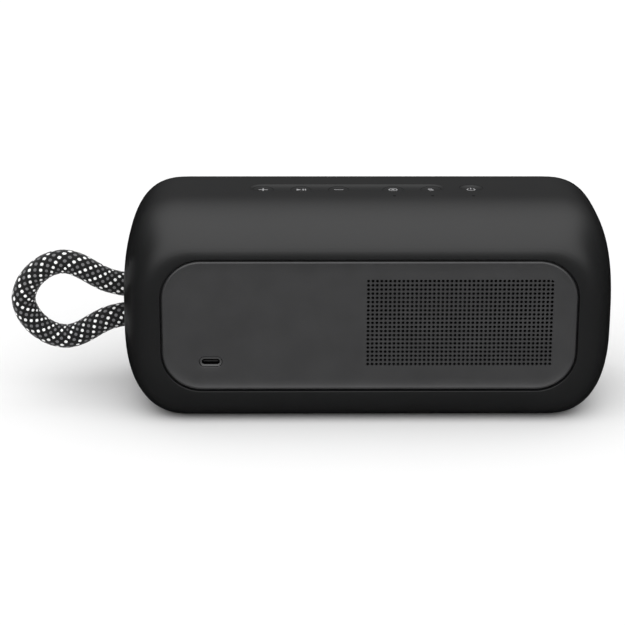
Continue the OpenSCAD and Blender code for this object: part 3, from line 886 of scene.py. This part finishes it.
def add_plates(materials):
    """The rear panel with its port and block of holes, and the front grille."""
    coat = [materials["powder_coated_metal"]]
    port_x, port_z = port_place()
    rear = Plate(panel_low, panel_high, PANEL_R, REAR_Y, 1)
    rear.set_grid(*FIRST_HOLE)
    cells = {(-i, -j) for i in range(HOLE_COLUMNS) for j in range(HOLE_ROWS)}

    def port(margin):
        return pill(port_x, port_z, PORT_L + 2 * margin, PORT_W + 2 * margin, PORT_END_STEPS)

    panel = rear.build("rear_panel_plate", cells, REAR_HOLE_SIDES, [port], coat)
    finish_piece(panel, "root", "powder_coated_metal", "rear_panel")
    front = Plate(grille_low, grille_high, GRILLE_R, FRONT_Y, -1)
    front.set_grid(0, (grille_low.z + grille_high.z) / 2)
    reach = range(-FRONT_REACH, FRONT_REACH + 1)
    cells = {(i, j) for i in reach for j in reach
             if front.edge_distance(i * PITCH, front.z0 + j * PITCH) > FRONT_MARGIN}
    grille = front.build("front_grille_plate", cells, FRONT_HOLE_SIDES, [], coat)
    finish_piece(grille, "root", "powder_coated_metal", "front_grille")


# ---- Port ----
# Length, width and depth under the panel's face of the seal's rings: its outside, the rise to its
# crest, the slope from its brow to its throat, and the socket's opening
SEAL_OUTSIDE = (10.7, 4.9, 0.7)
SEAL_SHOULDER = (10.15, 4.35, 0.15)
SEAL_CREST = (10.0, 4.2, 0.03)
SEAL_BROW = (9.85, 4.05, 0.08)
SEAL_THROAT = (8.5, 2.7, 0.32)
SOCKET = (8.34, 2.6, 0.4)
SLOPE_STEPS = 5
SEAL_END_STEPS = 20
# Length and width of the space for the socket's steel shell, and the Y at which the seal laps over
# the shell's front
SHELL_SPACE = (9.1, 3.4)
SHELL_LAP_Y = 41.93


def add_port(materials):
    """The seal round the socket, with a slope that leads the plug in."""
    x, z = port_place()
    back = box_mm("usb_gasket")[0].y
    face = REAR_Y - DISH_DEPTH

    def loop(length, width, y):
        return [(a, y, b) for a, b in pill(x, z, length, width, SEAL_END_STEPS)]

    slope = [[mix(a, b, k / SLOPE_STEPS) for a, b in zip(SEAL_BROW, SEAL_THROAT)]
             for k in range(SLOPE_STEPS + 1)]
    rings = [loop(*SEAL_OUTSIDE[:2], back)]
    for length, width, depth in (SEAL_OUTSIDE, SEAL_SHOULDER, SEAL_CREST, *slope, SOCKET):
        rings.append(loop(length, width, face - depth))
    rings += [loop(*SOCKET[:2], SHELL_LAP_Y), loop(*SHELL_SPACE, SHELL_LAP_Y), loop(*SHELL_SPACE, back)]
    seal = sweep("port_seal", rings, [materials["seal_rubber"]], closed=True)
    finish_piece(seal, "root", "seal_rubber", "usb_gasket")


# ---- Keys ----
TROUGH = 0.9
TROUGH_POWER = 2.5
# Distances of the strip's rings from its outline: closer together where it turns down
STRIP_INSETS = (0.03, 0.5, 1, 1.6, 2.3, 3, 3.8, 4.6, 5.4, 6.2, STRIP_W / 2 - 0.05)
# How far the cutters of the key holes reach below the strip and above the sleeve's top
STRIP_CUT_BELOW = 2
STRIP_CUT_ABOVE = 3
KEY_SKIRT_H = 1.4
KEY_STEM_R = 2.5
KEY_STEPS = 72
# Inset of each ring of a key's softened edge, and how far it lies under the key's top
KEY_EDGE = ((0, 0.12), (0.04, 0.03), (0.12, 0))
KEY_RINGS = 10
KEY_MIDDLE_R = 0.02


def trough_z(x, y, middle_x, middle_y, length, width):
    """Height of the dished strip at a place: flush at its outline, lowest along its middle."""
    reach = (length - width) / 2
    over = max(abs(x - middle_x) - reach, 0)
    share = min(math.hypot(over, y - middle_y) / (width / 2), 1)
    return BODY_TOP - TROUGH * (1 - share ** TROUGH_POWER)


def strip_z(x, y):
    """Height of the strip that holds five of the keys."""
    return trough_z(x, y, STRIP_X, KEY_Y, STRIP_L, STRIP_W)


def strip_loop(inset):
    """The strip's outline, smaller by an inset."""
    return pill(STRIP_X, KEY_Y, STRIP_L - 2 * inset, STRIP_W - 2 * inset)


def add_strip(materials):
    """The dished strip round five of the keys."""
    rings = [[(x, y, strip_low.z) for x, y in strip_loop(STRIP_INSETS[0])]]
    for inset in STRIP_INSETS:
        rings.append([(x, y, strip_z(x, y)) for x, y in strip_loop(inset)])
    strip = sweep("button_strip_skin", rings, [materials["sleeve_silicone"]])
    cutters = []
    low, high = strip_low.z - STRIP_CUT_BELOW, BODY_TOP + STRIP_CUT_ABOVE
    for name in STRIP_KEYS:
        x, y, r = key_place(name)
        cutters.append(prism(circle(x, y, r + KEY_GAP, KEY_HOLE_STEPS), low, high))
    cut(strip, cutters)
    finish_piece(strip, "root", "sleeve_silicone", "button_strip")


def add_key(name, height, materials):
    """A key whose top follows the height function, on the stem that reaches its switch."""
    x, y, r = key_place(name)
    low, high = box_mm(name + "_key")
    skirt = high.z - KEY_SKIRT_H

    def level_ring(radius, z):
        return [(a, b, z) for a, b in circle(x, y, radius, KEY_STEPS)]

    def top_ring(radius, fall=0):
        return [(a, b, height(a, b) - fall) for a, b in circle(x, y, radius, KEY_STEPS)]

    rings = [level_ring(KEY_STEM_R, low.z), level_ring(KEY_STEM_R, skirt), level_ring(r, skirt)]
    rings += [top_ring(r - inset, fall) for inset, fall in KEY_EDGE]
    rings += [top_ring(r * k / KEY_RINGS) for k in range(KEY_RINGS - 1, 0, -1)]
    rings.append(top_ring(KEY_MIDDLE_R))
    key = sweep(name + "_key_cap", rings, [materials["key_silicone"]])
    finish_piece(key, name, "key_silicone", name + "_key")


# ---- Key symbols ----
# How far a symbol reaches into its key, and how far it stands out
SYMBOL_T = 0.12
SYMBOL_LIFT = 0.03


def bar(x0, y0, x1, y1, width):
    """Outline of a straight stroke."""
    along = Vector((x1 - x0, y1 - y0)).normalized() * width / 2
    across = Vector((-along.y, along.x))
    return [tuple(Vector(p) + d) for p, d in (((x0, y0), across - along), ((x0, y0), -across - along),
                                              ((x1, y1), along - across), ((x1, y1), along + across))]


def arc(x, y, r, start, end, width, steps=40):
    """Outline of a curved stroke, from one angle to another in degrees."""
    outer, inner = [], []
    for k in range(steps + 1):
        a = math.radians(mix(start, end, k / steps))
        outer.append((x + (r + width / 2) * math.cos(a), y + (r + width / 2) * math.sin(a)))
        inner.append((x + (r - width / 2) * math.cos(a), y + (r - width / 2) * math.sin(a)))
    return outer + inner[::-1]


def symbol_strokes():
    """Strokes of each key's symbol, in millimetres. They read from behind: right is -X, up is -Y."""
    return {
        "volume_up": [bar(-1.9, 0, 1.9, 0, 0.62), bar(0, -1.9, 0, 1.9, 0.62)],
        "play": [[(-2.1, -1.5), (0.3, 0), (-2.1, 1.5)], bar(1.0, -1.1, 1.0, 1.1, 0.6),
                 bar(2.1, -1.1, 2.1, 1.1, 0.6)],
        "volume_down": [bar(-1.9, 0, 1.9, 0, 0.62)],
        "shortcut": [arc(0, 0, 1.9, 0, 360, 0.55), circle(0, 0, 0.75, 24)],
        "pairing": [arc(-0.3, 0.75, 0.8, 0, 360, 0.5), arc(0.3, -0.75, 0.8, 0, 360, 0.5)],
        "power": [arc(0, 0, 1.8, 125, 415, 0.55), bar(0, 0.9, 0, 2.3, 0.55)],
    }


def add_symbol(name, strokes, height, material):
    """A key's printed symbol, which follows the key's top."""
    x, y = key_place(name)[:2]
    points, faces = [], []
    for stroke in strokes:
        flat = [(x - a, y - b) for a, b in stroke]
        first, size = len(points), len(flat)
        points += [(a, b, height(a, b) - SYMBOL_T) for a, b in flat]
        points += [(a, b, height(a, b) + SYMBOL_LIFT) for a, b in flat]
        faces += [tuple(first + i for i in face) for face in ring_faces(2, size)]
        for layer in (0, 1):
            tops = geometry.tessellate_polygon([[Vector((a, b, 0)) for a, b in flat]])
            faces += [tuple(first + layer * size + i for i in face) for face in tops]
    symbol = make_mesh(name + "_symbol", points, faces, [material], smooth=False)
    finish_piece(symbol, name, "key_silicone")


def add_keys(materials):
    """Five keys that follow the strip's dish, and the power key with a dish of its own."""
    ink = grained("symbol_ink", (0.33, 0.33, 0.335), 0.6, 0.3, 0.004, 0.05)
    strokes = symbol_strokes()
    power_x, power_y, power_r = key_place("power")

    def power_z(x, y):
        return trough_z(x, y, power_x, power_y, 2 * power_r, 2 * power_r)

    for name in KEYS:
        height = strip_z if name in STRIP_KEYS else power_z
        add_key(name, height, materials)
        add_symbol(name, strokes[name], height, ink)


# ---- Foot ----
# Inset and height of the foot's rings: a softened edge, then two grooves in the flat underside
FOOT_EDGE = ((0, 0.35), (0.1, 0.15), (0.3, 0.03), (0.6, 0))
FOOT_GROOVES = ((2.5, 0), (2.9, 0.25), (3.6, 0.25), (4, 0), (6, 0), (6.4, 0.25), (7.1, 0.25), (7.5, 0))


def add_foot(materials):
    """A rubber pad with softened edges and two shallow grooves that run round its underside."""
    low, high = box_mm("base_foot")
    x, y = (low.x + high.x) / 2, (low.y + high.y) / 2
    length, width = high.x - low.x, high.y - low.y
    rings = []
    for inset, z in ((0, high.z), *FOOT_EDGE, *FOOT_GROOVES):
        rings.append([(a, b, z) for a, b in pill(x, y, length - 2 * inset, width - 2 * inset)])
    pad = sweep("foot_pad", rings, [materials["foot_rubber"]])
    finish_piece(pad, "root", "foot_rubber", "base_foot")


# ---- Finish of the CAD nodes ----
def dress_nodes(materials):
    """Gives every CAD node the material of its slot."""
    slots = {part["node"]: part["material_slot"] for part in frame["record"]["subparts"]}
    for name, piece in frame["nodes"].items():
        piece.data.materials.clear()
        piece.data.materials.append(materials[slots[name]])


# ---- Studio ----
# The light is a broad soft window overhead, leaning towards the camera. It fades between two
# cosines of the angle from its middle, down to a small share, and sideways and near the horizon
# between two sines, down to nothing.
LIGHT_TILT = math.radians(34)
LIGHT_EDGE = (-0.25, 1.0)
LIGHT_SIDES = (0.5, 1.0)
LIGHT_HEIGHT = (0.02, 0.25)
LIGHT_FAR_SHARE = 0.045
LIGHT_LEVEL = 2.0
# Half of the floor's side, in millimetres
FLOOR_HALF = 6000


def add_floor():
    """A plain pale floor that runs on past the view."""
    grid = [(x * FLOOR_HALF, y * FLOOR_HALF, 0) for x, y in ((-1, -1), (1, -1), (1, 1), (-1, 1))]
    paper, nodes, links, shader = node_material("studio_paper")
    vector = place(nodes, links)
    tint(nodes, links, shader, add_noise(nodes, links, vector, 300), (0.86, 0.86, 0.86), (0.9, 0.9, 0.9))
    shader.inputs["Roughness"].default_value = 1
    floor = make_mesh("studio_floor", grid, [(0, 1, 2, 3)], [paper], smooth=False)
    floor.visible_glossy = False


def add_light():
    """The window of light, as the product of its three falls in strength."""
    world = bpy.data.worlds.new("studio")
    world.use_nodes = True
    bpy.context.scene.world = world
    nodes, links = world.node_tree.nodes, world.node_tree.links
    where = nodes.new("ShaderNodeTexCoord")
    facing = nodes.new("ShaderNodeVectorMath")
    facing.operation = "DOT_PRODUCT"
    facing.inputs[1].default_value = (0, math.sin(LIGHT_TILT), math.cos(LIGHT_TILT))
    links.new(where.outputs["Generated"], facing.inputs[0])
    parts = nodes.new("ShaderNodeSeparateXYZ")
    links.new(where.outputs["Generated"], parts.inputs["Vector"])
    sideways = nodes.new("ShaderNodeMath")
    sideways.operation = "ABSOLUTE"
    links.new(parts.outputs["X"], sideways.inputs[0])
    strength = None
    for value, (start, end), low, high in ((facing.outputs["Value"], LIGHT_EDGE, LIGHT_FAR_SHARE, 1),
                                           (sideways.outputs[0], LIGHT_SIDES, 1, 0),
                                           (parts.outputs["Z"], LIGHT_HEIGHT, 0, 1)):
        fall = nodes.new("ShaderNodeMapRange")
        fall.interpolation_type = "SMOOTHSTEP"
        fall.inputs["From Min"].default_value = start
        fall.inputs["From Max"].default_value = end
        fall.inputs["To Min"].default_value = low
        fall.inputs["To Max"].default_value = high
        links.new(value, fall.inputs["Value"])
        if strength is None:
            strength = fall.outputs["Result"]
            continue
        product = nodes.new("ShaderNodeMath")
        product.operation = "MULTIPLY"
        links.new(strength, product.inputs[0])
        links.new(fall.outputs["Result"], product.inputs[1])
        strength = product.outputs[0]
    links.new(strength, nodes["Background"].inputs["Strength"])
    nodes["Background"].inputs["Color"].default_value = (LIGHT_LEVEL, LIGHT_LEVEL, LIGHT_LEVEL, 1)


def set_view():
    """Shows colours as they are, with no film look."""
    view = bpy.context.scene.view_settings
    view.view_transform = "Standard"
    view.look = "None"
    view.exposure = 0
    view.gamma = 1


def main():
    add_camera()
    materials = make_materials()
    add_rope(materials)
    add_sleeve(materials)
    add_plates(materials)
    add_port(materials)
    add_strip(materials)
    add_keys(materials)
    add_foot(materials)
    dress_nodes(materials)
    add_floor()
    add_light()
    set_view()


main()
